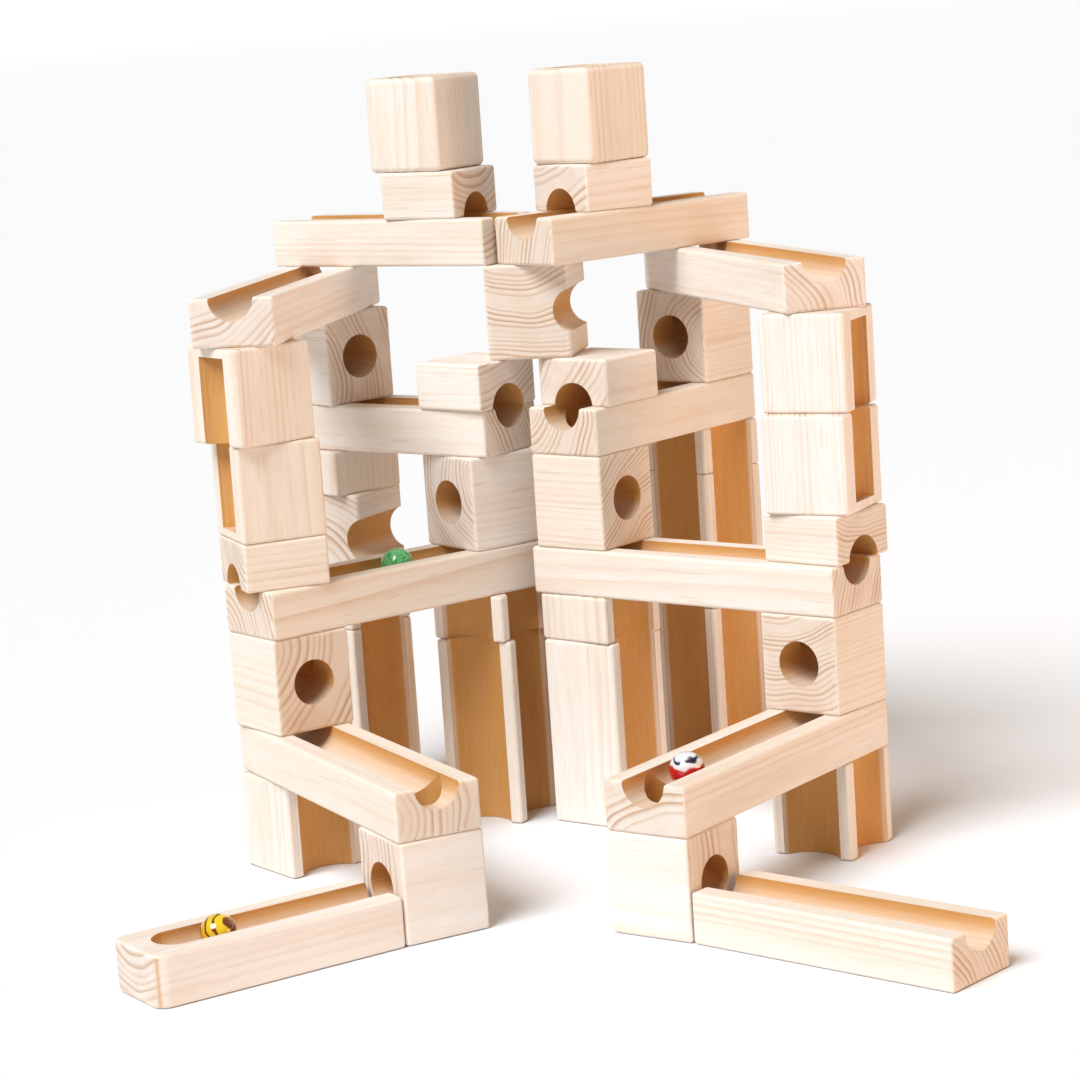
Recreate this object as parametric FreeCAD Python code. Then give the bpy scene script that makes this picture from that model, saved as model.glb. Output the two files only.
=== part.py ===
import FreeCAD, Part

import math
import os

# A wooden marble run. Two wings of loose pine blocks and grooved rails stand in front of
# each other's centre posts and share one grooved block in the middle. Three glass marbles
# are on their way down. Nothing is glued: every piece only rests on the ones below it.
# Millimetres, +Z up, standing on Z = 0, origin under the middle of the bounding box.

# Blocks and rails
block = 36.0               # side of every block seen from above, and width of a rail
cube_height = 40.0         # whole block
half_height = 20.0         # half block and rail, which stand level beside each other
short_rail = 115.0
long_rail = 153.0
left_exit_length = 105.0
right_exit_length = 116.0
edge_round = 1.4           # sanded edges of blocks and rails
top_edge_round = 2.6       # the two top blocks are sanded rounder
pillar_height = 2 * cube_height
closed_end_round = 6.0     # upright edges at the closed end of the left exit rail
closed_end_wood = 9.0      # wood left beyond its groove

# Ball track
bore_radius = 9.5          # bored turns and the drop holes in the rails
groove_radius = 9.5        # half-round groove along the top of a rail
tunnel_radius = 10.0       # half-round tunnel under a bridge
flute_radius = 9.5         # round-bottomed groove in an outer post or a lying block
flute_depth = 7.0
flute_stop = 4.0           # wood left beyond the blind end of a flute
pillar_flute_radius = 14.5 # the wider grooves down pillars and risers
pillar_flute_depth = 8.0
every_face = (0, 90, 180, 270)
three_faces = (0, 90, 180) # the face turned towards the front left is plain
funnel_radius = 14.0       # mouth of the two top blocks
funnel_depth = 8.0
marble_diameter = 14.0
marble_lift = 0.3          # clearance between a marble and the groove it lies in
green_marble_share = 0.51  # how far along its rail each marble is
red_marble_share = 0.80
yellow_marble_share = 0.66

# Layout, seen from above
post_spacing = block * math.sqrt(2)   # the two centre posts stand one block diagonal apart
post_line = -22.0                     # heading of the line through them
end_inset = block / 2                 # a post stands flush with the end of its rail
left_exit_gap = 1.6                   # exit cube to the rail that leads away from it
right_exit_gap = 2.4
shared_turn = -12.9                   # the block that both wings share
shared_point = FreeCAD.Vector(0.136, 0.178, 0) * block


# Every level is a count of cubes and halves, so neighbouring stacks stay level.
def level(cubes, halves):
    return cubes * cube_height + halves * half_height


def heading_vector(heading):
    angle = math.radians(heading)
    return FreeCAD.Vector(math.cos(angle), math.sin(angle), 0)


def step(point, heading, distance):
    return point + heading_vector(heading) * distance


def heading_between(start, end):
    return math.degrees(math.atan2(end.y - start.y, end.x - start.x))


# A rail lies along its heading; start is the middle of its first end.
class Rail:
    def __init__(self, start, heading, length, base):
        self.start = start
        self.heading = heading
        self.length = length
        self.base = base

    def at(self, distance):
        return step(self.start, self.heading, distance)

    # Distance along this rail at which it passes over the middle line of another.
    def crossing(self, other):
        across = heading_vector(other.heading + 90)
        offset = (other.start - self.start).dot(across)
        return offset / heading_vector(self.heading).dot(across)


def soft_box(length, width, height, rounding):
    corner = FreeCAD.Vector(-length / 2, -width / 2, 0)
    box = Part.makeBox(length, width, height, corner)
    return box.makeFillet(rounding, box.Edges)


def rod(radius, length, start, direction):
    return Part.makeCylinder(radius, length, start, direction)


along_x = FreeCAD.Vector(1, 0, 0)
along_y = FreeCAD.Vector(0, 1, 0)
along_z = FreeCAD.Vector(0, 0, 1)


# Local X runs along the rail from its start. The groove is open at both ends.
def rail_shape(length, hole_at):
    shape = soft_box(length, block, half_height, edge_round)
    shape.translate(FreeCAD.Vector(length / 2, 0, 0))
    groove_start = FreeCAD.Vector(-1, 0, half_height)
    shape = shape.cut(rod(groove_radius, length + 2, groove_start, along_x))
    if hole_at is not None:
        hole_start = FreeCAD.Vector(hole_at, 0, -1)
        shape = shape.cut(rod(bore_radius, half_height + 2, hole_start, along_z))
    return shape


# The same rail with a rounded far end that the groove stops short of.
def closed_rail_shape(length):
    box = Part.makeBox(length, block, half_height, FreeCAD.Vector(0, -block / 2, 0))
    far_edges = []
    for edge in box.Edges:
        if edge.BoundBox.ZLength > half_height / 2 and edge.BoundBox.XMin > length / 2:
            far_edges.append(edge)
    box = box.makeFillet(closed_end_round, far_edges)
    shape = box.makeFillet(edge_round, box.Edges)
    groove_end = FreeCAD.Vector(length - closed_end_wood - groove_radius, 0, half_height)
    groove_start = FreeCAD.Vector(-1, 0, half_height)
    shape = shape.cut(rod(groove_radius, groove_end.x + 1, groove_start, along_x))
    return shape.cut(Part.makeSphere(groove_radius, groove_end))


# The ball drops in at the top and leaves through the middle of the +X face.
def elbow_shape():
    middle = FreeCAD.Vector(0, 0, cube_height / 2)
    shape = soft_box(block, block, cube_height, edge_round)
    shape = shape.cut(rod(bore_radius, cube_height, middle, along_z))
    shape = shape.cut(rod(bore_radius, block, middle, along_x))
    return shape.cut(Part.makeSphere(bore_radius, middle))


# The tunnel runs along local X. The top pair has a bore from above into the tunnel.
def bridge_shape(with_drop):
    shape = soft_box(block, block, half_height, edge_round)
    tunnel_start = FreeCAD.Vector(-block, 0, 0)
    shape = shape.cut(rod(tunnel_radius, 2 * block, tunnel_start, along_x))
    if with_drop:
        shape = shape.cut(rod(bore_radius, half_height + 2, FreeCAD.Vector(0, 0, -1), along_z))
    return shape


# Upright flutes from end to end, each on one of the faces named by its heading.
def fluted_shape(height, faces):
    shape = soft_box(block, block, height, edge_round)
    for face in faces:
        foot = heading_vector(face) * (block / 2 + pillar_flute_radius - pillar_flute_depth)
        foot.z = -1
        shape = shape.cut(rod(pillar_flute_radius, height + 2, foot, along_z))
    return shape


# One upright flute on the +X face, blind at the top or at the bottom.
def outer_post_shape(blind_top):
    shape = soft_box(block, block, cube_height, edge_round)
    foot = FreeCAD.Vector(block / 2 + flute_radius - flute_depth, 0, flute_stop)
    if blind_top:
        foot.z = -flute_stop
    return shape.cut(rod(flute_radius, cube_height, foot, along_z))


# A grooved block lying on its side, with a level groove along the middle of its +X face.
def lying_block_shape():
    shape = soft_box(block, block, cube_height, edge_round)
    reach = block / 2 + flute_radius - flute_depth
    groove_start = FreeCAD.Vector(reach, -block, cube_height / 2)
    return shape.cut(rod(flute_radius, 2 * block, groove_start, along_y))


# Bored right through, with a funnel at the top.
def top_block_shape():
    shape = soft_box(block, block, cube_height, top_edge_round)
    shape = shape.cut(rod(bore_radius, cube_height + 2, FreeCAD.Vector(0, 0, -1), along_z))
    funnel_foot = FreeCAD.Vector(0, 0, cube_height - funnel_depth)
    return shape.cut(Part.makeCone(bore_radius, funnel_radius, funnel_depth, funnel_foot))


def marble_shape():
    return Part.makeSphere(marble_diameter / 2)


pieces = {}


def add(name, shape, point, base, heading):
    shape.rotate(FreeCAD.Vector(0, 0, 0), along_z, heading)
    shape.translate(FreeCAD.Vector(point.x, point.y, base))
    pieces[name] = shape


def add_rail(name, rail, hole_at):
    add(name, rail_shape(rail.length, hole_at), rail.start, rail.base, rail.heading)


def add_marble(name, rail, distance):
    centre = rail.base + half_height - groove_radius + marble_lift + marble_diameter / 2
    add(name, marble_shape(), rail.at(distance), centre, 0)


# One wing. wing holds the headings and nudges that differ between left and right,
# because the blocks were set down by hand and none of them stands quite square.
def build_wing(side, wing):
    centre_point = wing["centre_point"]
    turn = wing["turn"]

    fourth_start = step(centre_point, wing["fourth_heading"], -wing["fourth_inset"])
    fourth = Rail(fourth_start, wing["fourth_heading"], long_rail, level(2, 1))
    outer_point = fourth.at(long_rail - end_inset)

    fifth_start = step(outer_point, wing["fifth_heading"], -end_inset)
    fifth = Rail(fifth_start, wing["fifth_heading"], long_rail, level(1, 0))
    exit_point = fifth.at(long_rail - end_inset)

    third_start = step(centre_point, wing["third_heading"], -end_inset)
    third = Rail(third_start, wing["third_heading"], short_rail, level(3, 2))
    back_point = third.at(short_rail - end_inset)

    # The second rail lies evenly over the outer post and the back stack.
    post_point = outer_point + wing["post_nudge"]
    second_heading = heading_between(post_point, back_point)
    overhang = (long_rail - (back_point - post_point).Length) / 2
    second = Rail(step(post_point, second_heading, -overhang), second_heading, long_rail, level(4, 3))

    first = Rail(wing["first_start"], wing["first_heading"], short_rail, level(4, 4))

    exit_start = step(exit_point, turn["exit_elbow"], block / 2 + wing["exit_gap"])
    sixth = Rail(exit_start, wing["exit_heading"], wing["exit_length"], 0)

    add_rail(side + "_rail_1", first, first.crossing(second))
    add_rail(side + "_rail_2", second, long_rail - overhang)
    add_rail(side + "_rail_3", third, end_inset)
    add_rail(side + "_rail_4", fourth, long_rail - end_inset)
    add_rail(side + "_rail_5", fifth, long_rail - end_inset)
    add(side + "_rail_6", wing["exit_rail"], sixth.start, 0, sixth.heading)

    # Exit and outer stacks
    add(side + "_exit_elbow", elbow_shape(), exit_point, 0, turn["exit_elbow"])
    outer_pillar = fluted_shape(cube_height, wing["outer_faces"])
    add(side + "_outer_pillar", outer_pillar, outer_point, 0, turn["outer_pillar"])
    add(side + "_outer_elbow", elbow_shape(), outer_point, level(1, 1), turn["outer_elbow"])
    lower_point = outer_point + wing["lower_nudge"]
    add(side + "_outer_bridge", bridge_shape(False), lower_point, level(2, 2), turn["outer_bridge"])
    add(side + "_outer_post_lower", outer_post_shape(False), lower_point, level(2, 3), turn["lower_post"])
    add(side + "_outer_post_upper", outer_post_shape(True), post_point, level(3, 3), turn["upper_post"])

    # Centre stack
    centre_pillar = fluted_shape(pillar_height, wing["centre_faces"])
    centre_riser = fluted_shape(half_height, wing["centre_faces"])
    add(side + "_centre_pillar", centre_pillar, centre_point, 0, turn["centre_pillar"])
    add(side + "_centre_riser", centre_riser, centre_point, level(2, 0), turn["centre_riser"])
    add(side + "_centre_elbow", elbow_shape(), centre_point, level(2, 2), turn["centre_elbow"])
    bridge_point = centre_point + wing["bridge_nudge"]
    add(side + "_centre_bridge", bridge_shape(False), bridge_point, level(3, 3), turn["centre_bridge"])

    # Back stack
    back_pillar = fluted_shape(pillar_height, every_face)
    back_riser = fluted_shape(half_height, every_face)
    add(side + "_back_pillar", back_pillar, back_point, 0, turn["back_pillar"])
    add(side + "_back_riser", back_riser, back_point, level(2, 0), turn["back_pillar"])
    add(side + "_back_grooved_block", wing["back_block"], back_point, level(2, 1), turn["back_block"])
    add(side + "_back_half_block", wing["back_half"], back_point, level(3, 1), turn["back_half"])
    add(side + "_back_elbow", elbow_shape(), back_point, level(3, 3), turn["back_elbow"])

    # Top pair, on the first rail
    top_point = first.at(wing["top_distance"])
    add(side + "_top_bridge", bridge_shape(True), top_point, level(4, 5), turn["top_bridge"])
    block_point = first.at(wing["top_distance"] + wing["top_slip"])
    add(side + "_top_block", top_block_shape(), block_point, level(4, 6), turn["top_block"])
    return fourth, fifth, sixth


left_wing = {
    "centre_point": heading_vector(post_line) * (-post_spacing / 2),
    "fourth_heading": 216.8,
    "fourth_inset": 31.0,
    "fifth_heading": -63.0,
    "third_heading": 141.6,
    "post_nudge": FreeCAD.Vector(-6.5, -3.5, 0),
    "lower_nudge": FreeCAD.Vector(-3, 0, 0),
    "bridge_nudge": FreeCAD.Vector(0.5, -3, 0),
    "first_start": FreeCAD.Vector(-0.144, 0.194, 0) * block,
    "first_heading": 143.8,
    "top_distance": 35.0,
    "top_slip": 5.0,
    "exit_gap": left_exit_gap,
    "exit_heading": 213.1,
    "exit_length": left_exit_length,
    "exit_rail": closed_rail_shape(left_exit_length),
    "outer_faces": three_faces,
    "centre_faces": every_face,
    "back_block": lying_block_shape(),
    "back_half": soft_box(block, block, half_height, edge_round),
    "turn": {
        "exit_elbow": 209.2,
        "outer_pillar": -54.0,
        "outer_elbow": -54.9,
        "outer_bridge": 200.8,
        "lower_post": 201.9,
        "upper_post": 217.0,
        "centre_pillar": -28.0,
        "centre_riser": -34.0,
        "centre_elbow": 216.1,
        "centre_bridge": -41.6,
        "back_pillar": -45.0,
        "back_block": -30.0,
        "back_half": -50.0,
        "back_elbow": -48.6,
        "top_bridge": -30.7,
        "top_block": -33.7,
    },
}

right_wing = {
    "centre_point": heading_vector(post_line) * (post_spacing / 2),
    "fourth_heading": -39.6,
    "fourth_inset": 21.0,
    "fifth_heading": -126.3,
    "third_heading": 50.4,
    "post_nudge": FreeCAD.Vector(4.5, 9, 0),
    "lower_nudge": FreeCAD.Vector(3.5, 3, 0),
    "bridge_nudge": FreeCAD.Vector(5.5, 4, 0),
    "first_start": FreeCAD.Vector(0.028, -0.444, 0) * block,
    "first_heading": 40.3,
    "top_distance": 41.0,
    "top_slip": 0.0,
    "exit_gap": right_exit_gap,
    "exit_heading": -42.1,
    "exit_length": right_exit_length,
    "exit_rail": rail_shape(right_exit_length, None),
    "outer_faces": every_face,
    "centre_faces": three_faces,
    "back_block": fluted_shape(cube_height, every_face),
    "back_half": fluted_shape(half_height, every_face),
    "turn": {
        "exit_elbow": -36.2,
        "outer_pillar": -34.5,
        "outer_elbow": 230.0,
        "outer_bridge": -41.0,
        "lower_post": -29.5,
        "upper_post": -25.8,
        "centre_pillar": -37.5,
        "centre_riser": -42.0,
        "centre_elbow": -39.0,
        "centre_bridge": 230.5,
        "back_pillar": -46.0,
        "back_block": -46.0,
        "back_half": -46.0,
        "back_elbow": 230.5,
        "top_bridge": 217.0,
        "top_block": 223.3,
    },
}

left_fourth, left_fifth, left_sixth = build_wing("left", left_wing)
right_fourth, right_fifth, right_sixth = build_wing("right", right_wing)

# The shared block stands half on each centre bridge and carries both first rails.
add("centre_grooved_block", lying_block_shape(), shared_point, level(3, 4), shared_turn)

add_marble("green_marble", left_fourth, green_marble_share * long_rail)
add_marble("red_marble", right_fifth, red_marble_share * long_rail)
add_marble("yellow_marble", left_sixth, yellow_marble_share * left_exit_length)

# Move the origin under the middle of the bounding box.
extent = Part.makeCompound(list(pieces.values())).optimalBoundingBox(False, False)
shift = FreeCAD.Vector(-(extent.XMin + extent.XMax) / 2, -(extent.YMin + extent.YMax) / 2, 0)
os.makedirs("parts", exist_ok=True)
for name, shape in pieces.items():
    shape.translate(shift)
    shape.exportStep("parts/" + name + ".step")

print("pieces", len(pieces))
print("size", round(extent.XLength, 2), round(extent.YLength, 2), round(extent.ZLength, 2))
print("shift", round(shift.x, 3), round(shift.y, 3))
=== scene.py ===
import math
import random

import bmesh
import bpy
from mathutils import Matrix, Vector


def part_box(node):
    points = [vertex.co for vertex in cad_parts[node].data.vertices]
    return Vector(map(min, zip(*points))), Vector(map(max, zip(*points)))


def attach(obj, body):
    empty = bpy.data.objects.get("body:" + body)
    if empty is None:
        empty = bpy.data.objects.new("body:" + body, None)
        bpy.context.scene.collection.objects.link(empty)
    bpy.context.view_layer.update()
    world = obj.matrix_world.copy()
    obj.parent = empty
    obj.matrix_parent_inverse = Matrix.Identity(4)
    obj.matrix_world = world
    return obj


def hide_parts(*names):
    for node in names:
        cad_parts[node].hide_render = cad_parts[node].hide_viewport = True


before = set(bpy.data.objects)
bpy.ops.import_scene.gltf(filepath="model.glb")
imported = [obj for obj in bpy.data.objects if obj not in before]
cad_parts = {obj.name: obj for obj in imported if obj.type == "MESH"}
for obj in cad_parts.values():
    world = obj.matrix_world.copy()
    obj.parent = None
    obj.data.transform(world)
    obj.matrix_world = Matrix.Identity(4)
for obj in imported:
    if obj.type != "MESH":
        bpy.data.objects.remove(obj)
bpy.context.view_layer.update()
print("frame loaded,", len(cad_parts), "nodes")


# Python arithmetic on a Wire adds Math nodes to the material it belongs to.
class Wire:
    def __init__(self, shader, socket):
        self.shader = shader
        self.socket = socket

    def maths(self, operation, *values):
        return self.shader.add("ShaderNodeMath", {"operation": operation}, dict(enumerate(values)))

    def __add__(self, other):
        return self.maths("ADD", self, other)

    def __radd__(self, other):
        return self.maths("ADD", other, self)

    def __sub__(self, other):
        return self.maths("SUBTRACT", self, other)

    def __rsub__(self, other):
        return self.maths("SUBTRACT", other, self)

    def __mul__(self, other):
        return self.maths("MULTIPLY", self, other)

    def __rmul__(self, other):
        return self.maths("MULTIPLY", other, self)

    def __truediv__(self, other):
        return self.maths("DIVIDE", self, other)

    def __pow__(self, other):
        return self.maths("POWER", self, other)

    def __abs__(self):
        return self.maths("ABSOLUTE", self)

    def least(self, other):
        return self.maths("MINIMUM", self, other)

    def most(self, other):
        return self.maths("MAXIMUM", self, other)

    # Rises smoothly from 0 to 1 while this goes from start to end.
    def rise(self, start, end):
        settings = {"interpolation_type": "SMOOTHSTEP"}
        return self.shader.add("ShaderNodeMapRange", settings, {0: self, 1: start, 2: end, 3: 0.0, 4: 1.0})


class Shader:
    def __init__(self, name):
        self.material = bpy.data.materials.new(name)
        self.material.use_nodes = True
        self.tree = self.material.node_tree
        self.tree.nodes.clear()

    # Adds a node, sets its settings, then fills its sockets, and returns one output.
    def add(self, kind, settings=None, sockets=None, output=0):
        node = self.tree.nodes.new(kind)
        for name, value in (settings or {}).items():
            if name == "stops":
                self.setStops(node.color_ramp, value)
            else:
                setattr(node, name, value)
        for key, value in (sockets or {}).items():
            if isinstance(value, Wire):
                self.tree.links.new(value.socket, node.inputs[key])
            else:
                node.inputs[key].default_value = value
        return Wire(self, node.outputs[output]) if node.outputs else None

    def setStops(self, ramp, stops):
        while len(ramp.elements) < len(stops):
            ramp.elements.new(0.5)
        for element, (place, colour) in zip(ramp.elements, stops):
            element.position = place
            element.color = (*colour, 1.0)

    def mix(self, factor, first, second, blend="MIX"):
        settings = {"data_type": "RGBA", "blend_type": blend}
        sockets = {0: factor, 6: self.solid(first), 7: self.solid(second)}
        return self.add("ShaderNodeMix", settings, sockets, 2)

    def solid(self, colour):
        return colour if isinstance(colour, Wire) else (*colour, 1.0)

    def vector(self, operation, first, second):
        return self.add("ShaderNodeVectorMath", {"operation": operation}, {0: first, 1: second})

    def dot(self, first, second):
        return self.add("ShaderNodeVectorMath", {"operation": "DOT_PRODUCT"}, {0: first, 1: second}, "Value")

    def noise(self, vector, scale, detail=2.0, rough=0.5):
        sockets = {"Vector": vector, "Scale": scale, "Detail": detail, "Roughness": rough}
        return self.add("ShaderNodeTexNoise", None, sockets)

    def finish(self, sockets):
        surface = self.add("ShaderNodeBsdfPrincipled", None, sockets)
        self.add("ShaderNodeOutputMaterial", None, {"Surface": surface})
        return self.material


def fromSrgb(red, green, blue):
    def linear(value):
        value = value / 255
        return value / 12.92 if value <= 0.04045 else ((value + 0.055) / 1.055) ** 2.4
    return (linear(red), linear(green), linear(blue))


# Where a block stands: its middle, its heading and its half sizes along and across that.
# The heading is that of the upright face that a hole or groove has taken most wood from.
def standing(node):
    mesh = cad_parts[node].data
    flat = [face for face in mesh.polygons if abs(face.normal.z) < 0.001 and face.area > 0]
    areas = {}
    for face in flat:
        angle = math.degrees(math.atan2(face.normal.y, face.normal.x))
        areas.setdefault(round(angle), []).append((face.area, angle))
    widest = max(areas.values(), key=lambda found: sum(area for area, angle in found))
    straight = max(widest)[1]
    woodLeft = []
    for quarter in range(4):
        turned = math.radians(straight + 90 * quarter)
        side = Vector((math.cos(turned), math.sin(turned), 0))
        area = sum(face.area for face in flat if face.normal.dot(side) > 0.99995)
        woodLeft.append((round(area * 1e6), quarter))
    heading = math.radians(straight + 90 * min(woodLeft)[1])
    along = Vector((math.cos(heading), math.sin(heading), 0))
    across = Vector((-math.sin(heading), math.cos(heading), 0))
    middle = Vector()
    half = []
    for axis in (along, across, Vector((0, 0, 1))):
        reach = [vertex.co.dot(axis) for vertex in mesh.vertices]
        middle += axis * (min(reach) + max(reach)) / 2
        half.append((max(reach) - min(reach)) / 2)
    return middle, heading, half


# Sizes in millimetres. Colours are of planed, unvarnished pine, except the cut colour, which is partly the
# tone of rough-cut wood and partly painted shade in bores and flutes.
pine = {
    "early": [fromSrgb(242, 235, 227), fromSrgb(240, 231, 220), fromSrgb(244, 238, 232)],
    "late": [fromSrgb(222, 192, 160), fromSrgb(214, 180, 144), fromSrgb(228, 202, 176)],
    "cut": fromSrgb(206, 142, 40),
    "ringContrast": 0.44,
    # Share of the painted shade taken off a hollow where it faces up to the light
    "upFacingLessShade": 0.62,
    "streak": fromSrgb(196, 140, 84),
    "ductColour": fromSrgb(160, 108, 62),
    "endColour": fromSrgb(176, 124, 78),
    "wornColour": fromSrgb(244, 232, 218),
    "broadTint": 0.26,
    "fibreTint": 0.14,
    "ductTint": 0.16,
    "wornTint": 0.30,
    "ringStretch": 0.09,
    "fibreStretch": 0.035,
    "ringSpacing": (2.0, 3.6),
    "pith": (22.0, 85.0),
    "bend": 5.0,
    "edgeWear": 2.4,
    "roughness": 0.52,
    "specular": 0.32,
    "bumpStrength": 0.35,
    "bumpDepth": 0.0004,
}


def pineFinish(node, grain):
    draw = random.Random(node)
    middle, heading, half = standing(node)
    shader = Shader("pine_" + node)
    coordinates = shader.add("ShaderNodeTexCoord", None, None, "Object")
    placing = {"Vector": coordinates, "Location": middle, "Rotation": (0, 0, heading), "Scale": (0.001,) * 3}
    place = shader.add("ShaderNodeMapping", {"vector_type": "TEXTURE"}, placing)
    split = shader.add("ShaderNodeSeparateXYZ", None, {0: place})
    axes = [split] + [Wire(shader, split.socket.node.outputs[index]) for index in (1, 2)]
    index = "xyz".index(grain)
    run, first, second = axes[index], axes[(index + 1) % 3], axes[(index + 2) % 3]

    # Everything stretches along the grain.
    stretch = [1.0, 1.0, 1.0]
    stretch[index] = pine["ringStretch"]
    offset = [draw.uniform(-200, 200) for axis in range(3)]
    stretched = shader.vector("MULTIPLY", shader.vector("ADD", place, offset), stretch)

    # Year rings round a pith that lies outside most blocks
    angle = draw.uniform(0, 2 * math.pi)
    distance = draw.uniform(*pine["pith"])
    wander = (shader.noise(stretched, 0.035, 1.0) - 0.5) * pine["bend"] * 2
    fromPithA = first - distance * math.cos(angle)
    fromPithB = second - distance * math.sin(angle)
    radius = (fromPithA * fromPithA + fromPithB * fromPithB) ** 0.5 + wander
    spacing = draw.uniform(*pine["ringSpacing"])
    ringNumber = radius / spacing
    year = shader.noise(shader.add("ShaderNodeCombineXYZ", None, {0: ringNumber * 0.23}), 1.0, 1.0)
    growth = shader.add("ShaderNodeMath", {"operation": "FRACT"}, {0: ringNumber + year * 1.6})
    late = growth.rise(0.35, 0.9) * (1 - growth.rise(0.92, 1.0))
    ringPlace = shader.add("ShaderNodeCombineXYZ", None, {0: ringNumber * 0.31, 1: 7.0})
    ringDepth = shader.noise(ringPlace, 1.0, 0.0)
    late = late * ringDepth.rise(0.25, 0.75)

    # Fibres and short resin ducts
    fibreStretch = [1.0, 1.0, 1.0]
    fibreStretch[index] = pine["fibreStretch"]
    fibrePlace = shader.vector("MULTIPLY", shader.vector("ADD", place, offset), fibreStretch)
    fibre = shader.noise(fibrePlace, 2.6, 3.0, 0.6)
    broad = shader.noise(stretched, 0.11, 2.0)
    duct = shader.noise(fibrePlace, 1.3, 0.0).rise(0.70, 0.82)

    # How squarely the surface faces along, across and up the block
    normal = shader.add("ShaderNodeTexCoord", None, None, "Normal")
    along = (math.cos(heading), math.sin(heading), 0.0)
    across = (-math.sin(heading), math.cos(heading), 0.0)
    facing = [shader.dot(normal, direction) for direction in (along, across, (0.0, 0.0, 1.0))]
    endGrain = abs(facing[index]).rise(0.62, 0.93)

    # A planed face lies at the outside of the block and faces outwards. The rest is bored or fluted.
    inside = [half[axis] * 1000 - abs(axes[axis]) for axis in range(3)]
    low = inside[0].least(inside[1])
    high = inside[0].most(inside[1])
    edge = low.most(high.least(inside[2]))
    planed = [abs(facing[axis]).rise(0.35, 0.6) * (1 - inside[axis].rise(0.6, 2.2)) for axis in range(3)]
    bored = 1 - planed[0].most(planed[1]).most(planed[2])
    # Bores and flutes get the golden cut colour: partly the tone of rough-cut wood, partly painted shade in
    # the hollows. Less is painted where a hollow faces up to the light.
    cutWoodAndShadeMask = bored * (1 - facing[2].rise(0.1, 0.9) * pine["upFacingLessShade"])
    rubbed = shader.noise(place, 0.22, 2.0).rise(0.35, 0.7) * (1 - bored)
    worn = (1 - edge.rise(0.9, pine["edgeWear"] + 1.0)) * rubbed

    tone = draw.randrange(3)
    colour = shader.mix(late * pine["ringContrast"], pine["early"][tone], pine["late"][tone])
    colour = shader.mix(broad.rise(0.35, 0.8) * pine["broadTint"], colour, pine["late"][(tone + 1) % 3])
    colour = shader.mix(fibre.rise(0.3, 0.75) * pine["fibreTint"], colour, pine["streak"])
    colour = shader.mix(duct * (1 - endGrain) * pine["ductTint"], colour, pine["ductColour"])
    colour = shader.mix(endGrain * (0.16 + late * 0.5), colour, pine["endColour"])
    # Golden rough-cut tone and painted shade on bored and fluted wood
    colour = shader.mix(cutWoodAndShadeMask * (0.74 + fibre * 0.24), colour, pine["cut"])
    colour = shader.mix(worn * pine["wornTint"], colour, pine["wornColour"])
    roughness = pine["roughness"] + fibre * 0.16 + endGrain * 0.12 + bored * 0.14
    dents = shader.noise(place, 0.45, 2.0).rise(0.66, 0.80)
    height = fibre * 0.5 + late * 0.25 + dents * -0.7 + endGrain * fibre * 0.6 + bored * fibre * 0.8
    relief = {"Height": height, "Strength": pine["bumpStrength"], "Distance": pine["bumpDepth"]}
    bump = shader.add("ShaderNodeBump", None, relief)
    sockets = {"Base Color": colour, "Roughness": roughness, "Normal": bump}
    sockets["Specular IOR Level"] = pine["specular"]
    return shader.finish(sockets)


# The fibres run along a rail, from the mouth of a turn to its back, and up a post.
def grainOf(node):
    if "rail" in node or "elbow" in node or "bridge" in node:
        return "x"
    if node in ("centre_grooved_block", "left_back_grooved_block"):
        return "y"
    return "z"


marbleNodes = ["green_marble", "red_marble", "yellow_marble"]
for node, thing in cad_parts.items():
    if node in marbleNodes:
        continue
    thing.data.materials.clear()
    thing.data.materials.append(pineFinish(node, grainOf(node)))
print("pine finished")


marble = {"levels": 6, "coat": 1.0, "coatRoughness": 0.03, "roughness": 0.06, "glass": 1.5}


def marblePiece(name, node, material):
    low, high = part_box(node)
    middle = (Vector(low) + Vector(high)) / 2
    shape = bmesh.new()
    bmesh.ops.create_icosphere(shape, subdivisions=marble["levels"], radius=(high[0] - low[0]) / 2)
    bmesh.ops.translate(shape, verts=shape.verts, vec=middle)
    mesh = bpy.data.meshes.new(name)
    shape.to_mesh(mesh)
    shape.free()
    for face in mesh.polygons:
        face.use_smooth = True
    mesh.materials.append(material)
    thing = bpy.data.objects.new(name, mesh)
    bpy.context.scene.collection.objects.link(thing)
    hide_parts(node)
    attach(thing, node)
    return thing


def marblePlace(shader, node, turn):
    low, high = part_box(node)
    middle = (Vector(low) + Vector(high)) / 2
    coordinates = shader.add("ShaderNodeTexCoord", None, None, "Object")
    placing = {"Vector": coordinates, "Location": middle, "Rotation": turn, "Scale": (0.001,) * 3}
    return shader.add("ShaderNodeMapping", {"vector_type": "TEXTURE"}, placing)


def glassSockets(colour, roughness, bump, transmission):
    return {
        "Base Color": colour, "Roughness": roughness, "Normal": bump, "IOR": marble["glass"],
        "Coat Weight": marble["coat"], "Coat Roughness": marble["coatRoughness"],
        "Transmission Weight": transmission,
    }


def scratches(shader, place):
    fine = shader.noise(place, 1.6, 3.0)
    bump = shader.add("ShaderNodeBump", None, {"Height": fine, "Strength": 0.05, "Distance": 0.0002})
    return fine, bump


crackled = {
    "turn": (0.4, 0.2, 0.1), "crackScale": 0.36, "clear": 0.25,
    "deep": fromSrgb(30, 186, 84), "bright": fromSrgb(112, 240, 146), "crack": fromSrgb(206, 246, 214),
}


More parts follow.
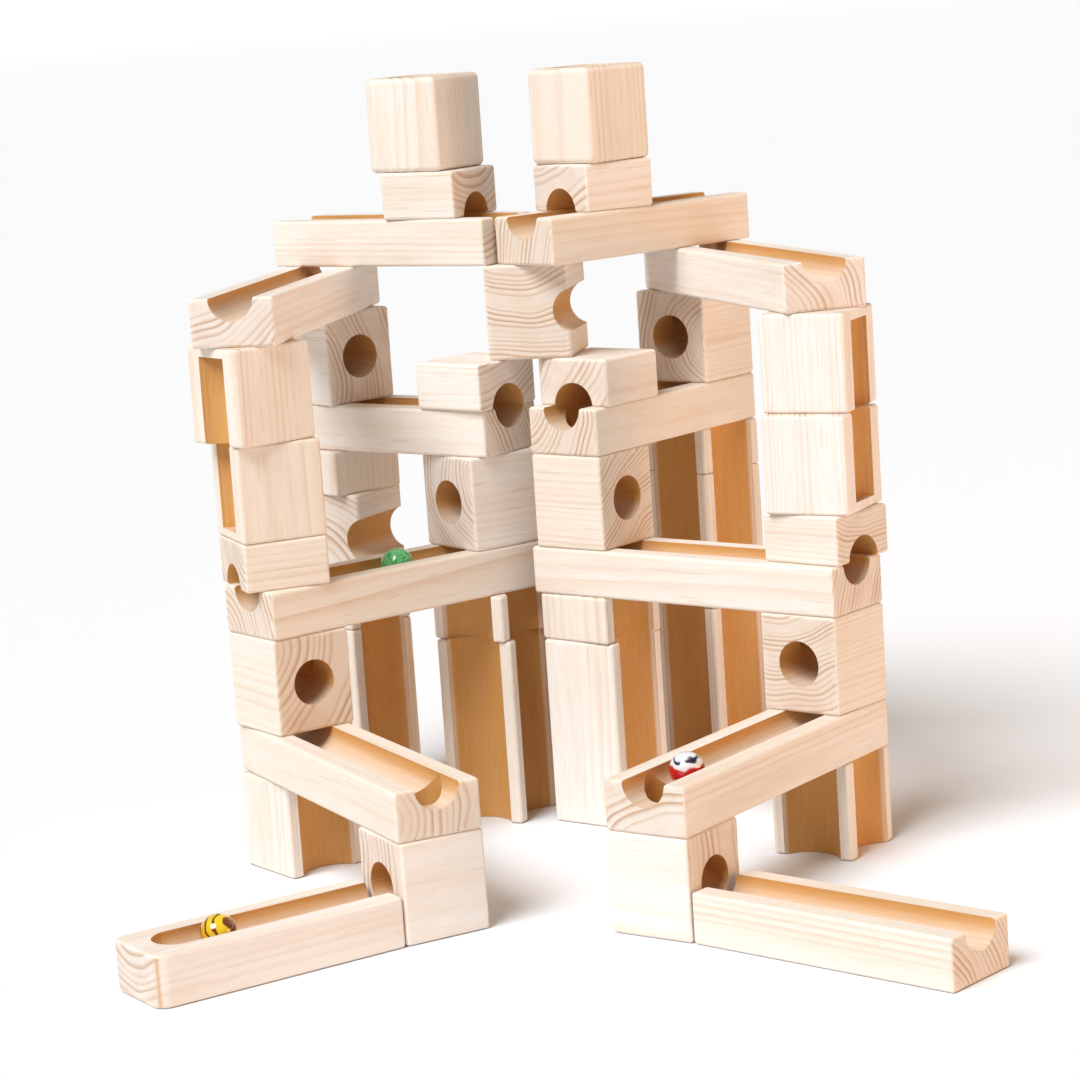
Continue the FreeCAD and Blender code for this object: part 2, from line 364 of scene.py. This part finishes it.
# Clear green glass with a crackled heart
def greenGlass():
    shader = Shader("green_glass")
    place = marblePlace(shader, "green_marble", crackled["turn"])
    cells = {"Vector": place, "Scale": crackled["crackScale"]}
    cracks = shader.add("ShaderNodeTexVoronoi", {"feature": "DISTANCE_TO_EDGE"}, cells)
    cloud = shader.noise(place, 0.3, 3.0)
    colour = shader.mix(cloud.rise(0.3, 0.7), crackled["deep"], crackled["bright"])
    colour = shader.mix((1 - cracks.rise(0.0, 0.10)) * 0.55, colour, crackled["crack"])
    fine, bump = scratches(shader, place)
    return shader.finish(glassSockets(colour, marble["roughness"] + fine * 0.04, bump, crackled["clear"]))


# Stops run from the bottom of the marble to its top.
banded = {
    "turn": (0.15, -0.25, 0.5), "clear": 0.08, "waver": 5.0,
    "stops": [
        (0.0, fromSrgb(226, 238, 250)), (0.40, fromSrgb(240, 238, 244)), (0.46, fromSrgb(214, 34, 38)),
        (0.70, fromSrgb(206, 24, 30)), (0.75, fromSrgb(246, 240, 240)), (0.82, fromSrgb(240, 244, 252)),
        (0.85, fromSrgb(30, 26, 48)), (0.88, fromSrgb(34, 30, 60)), (0.91, fromSrgb(236, 244, 252)),
        (1.0, fromSrgb(226, 238, 250)),
    ],
}


# White glass with a dark thread and a red band
def redGlass():
    shader = Shader("red_glass")
    place = marblePlace(shader, "red_marble", banded["turn"])
    split = shader.add("ShaderNodeSeparateXYZ", None, {0: place})
    upward = Wire(shader, split.socket.node.outputs[2])
    swirl = upward + (shader.noise(place, 0.16, 1.0) - 0.5) * banded["waver"]
    colour = shader.add("ShaderNodeValToRGB", {"stops": banded["stops"]}, {0: (swirl + 7.0) / 14.0})
    fine, bump = scratches(shader, place)
    return shader.finish(glassSockets(colour, marble["roughness"] + fine * 0.04, bump, banded["clear"]))


amber = {
    "turn": (0.5, 0.9, 0.0), "clear": 0.12, "waver": 4.0, "stripes": 2.1,
    "dark": fromSrgb(226, 138, 18), "bright": fromSrgb(250, 216, 40), "stripe": fromSrgb(122, 62, 16),
}


# Amber glass with wavy brown stripes
def yellowGlass():
    shader = Shader("yellow_glass")
    place = marblePlace(shader, "yellow_marble", amber["turn"])
    split = shader.add("ShaderNodeSeparateXYZ", None, {0: place})
    along = Wire(shader, split.socket.node.outputs[2])
    swirl = along + (shader.noise(place, 0.14, 1.0) - 0.5) * amber["waver"]
    band = shader.add("ShaderNodeMath", {"operation": "SINE"}, {0: swirl * amber["stripes"]})
    colour = shader.mix(along.rise(-6.0, 5.0), amber["dark"], amber["bright"])
    colour = shader.mix(band.rise(0.45, 0.85), colour, amber["stripe"])
    fine, bump = scratches(shader, place)
    return shader.finish(glassSockets(colour, marble["roughness"] + fine * 0.04, bump, amber["clear"]))


for node, finish in zip(marbleNodes, (greenGlass, redGlass, yellowGlass)):
    piece = marblePiece(node + "_glass", node, finish())
print("marbles made")


stage = {
    "floorSize": 80.0, "floorDrop": 0.0002, "wallHeight": 6.0,
    "floorColour": (0.90, 0.92, 0.96), "worldColour": (1.0, 0.84, 0.66), "worldLight": 0.30,
}


def makeFloor():
    shape = bmesh.new()
    bmesh.ops.create_grid(shape, x_segments=1, y_segments=1, size=stage["floorSize"] / 2)
    bmesh.ops.translate(shape, verts=shape.verts, vec=(0, 0, -stage["floorDrop"]))

    # The far edge turns up into a wall, so no horizon shows.
    farEdge = [edge for edge in shape.edges if all(vertex.co.y > 0 for vertex in edge.verts)]
    raised = bmesh.ops.extrude_edge_only(shape, edges=farEdge)["geom"]
    raisedVerts = [part for part in raised if isinstance(part, bmesh.types.BMVert)]
    bmesh.ops.translate(shape, verts=raisedVerts, vec=(0, 0, stage["wallHeight"]))
    mesh = bpy.data.meshes.new("floor")
    shape.to_mesh(mesh)
    shape.free()
    shader = Shader("floor")
    colour = (*stage["floorColour"], 1.0)
    mesh.materials.append(shader.finish({"Base Color": colour, "Roughness": 0.9, "Specular IOR Level": 0.1}))
    floor = bpy.data.objects.new("floor", mesh)
    bpy.context.scene.collection.objects.link(floor)


def makeWorld():
    world = bpy.data.worlds.new("room")
    world.use_nodes = True
    background = world.node_tree.nodes["Background"]
    background.inputs["Color"].default_value = (*stage["worldColour"], 1.0)
    background.inputs["Strength"].default_value = stage["worldLight"]
    bpy.context.scene.world = world


keyLight = {"azimuth": -42, "elevation": 52, "strength": 3.3, "angle": 34, "colour": (0.94, 0.975, 1.0)}
warmFill = {
    "place": (1.5, -0.55, 0.26), "aim": (0, 0, 0.16), "size": (0.9, 0.6),
    "power": 9.0, "colour": (1.0, 0.50, 0.18),
}


# A soft box hangs at a place and looks at the middle of the run.
def makeSoftBox(name, box):
    light = bpy.data.lights.new(name, "AREA")
    light.shape = "RECTANGLE"
    light.size, light.size_y = box["size"]
    light.energy = box["power"]
    light.color = box["colour"]
    thing = bpy.data.objects.new(name, light)
    thing.location = box["place"]
    aim = Vector(box["aim"]) - Vector(box["place"])
    thing.rotation_euler = aim.to_track_quat("-Z", "Y").to_euler()
    bpy.context.scene.collection.objects.link(thing)


# A wide sun stands in for a large, distant studio lamp.
def makeSun(name, sun):
    light = bpy.data.lights.new(name, "SUN")
    light.energy = sun["strength"]
    light.angle = math.radians(sun["angle"])
    light.color = sun["colour"]
    thing = bpy.data.objects.new(name, light)
    thing.rotation_euler = (math.radians(90 - sun["elevation"]), 0, math.radians(sun["azimuth"]))
    bpy.context.scene.collection.objects.link(thing)


camera = {"place": (0.0048, -1.2344, 0.3552), "down": 10.0, "roll": 3.89, "lens": 104.97}


def makeCamera():
    data = bpy.data.cameras.new("camera")
    data.sensor_width = 36.0
    data.lens = camera["lens"]
    data.clip_end = 200.0
    thing = bpy.data.objects.new("camera", data)
    pitched = Matrix.Rotation(math.radians(90 - camera["down"]), 3, "X")
    rolled = Matrix.Rotation(math.radians(-camera["roll"]), 3, "Z")
    thing.rotation_euler = (pitched @ rolled).to_euler()
    thing.location = camera["place"]
    bpy.context.scene.collection.objects.link(thing)
    bpy.context.scene.camera = thing


makeFloor()
makeWorld()
makeSun("key", keyLight)
makeSoftBox("warmFill", warmFill)
makeCamera()
bpy.context.scene.view_settings.view_transform = "Standard"
print("stage set")
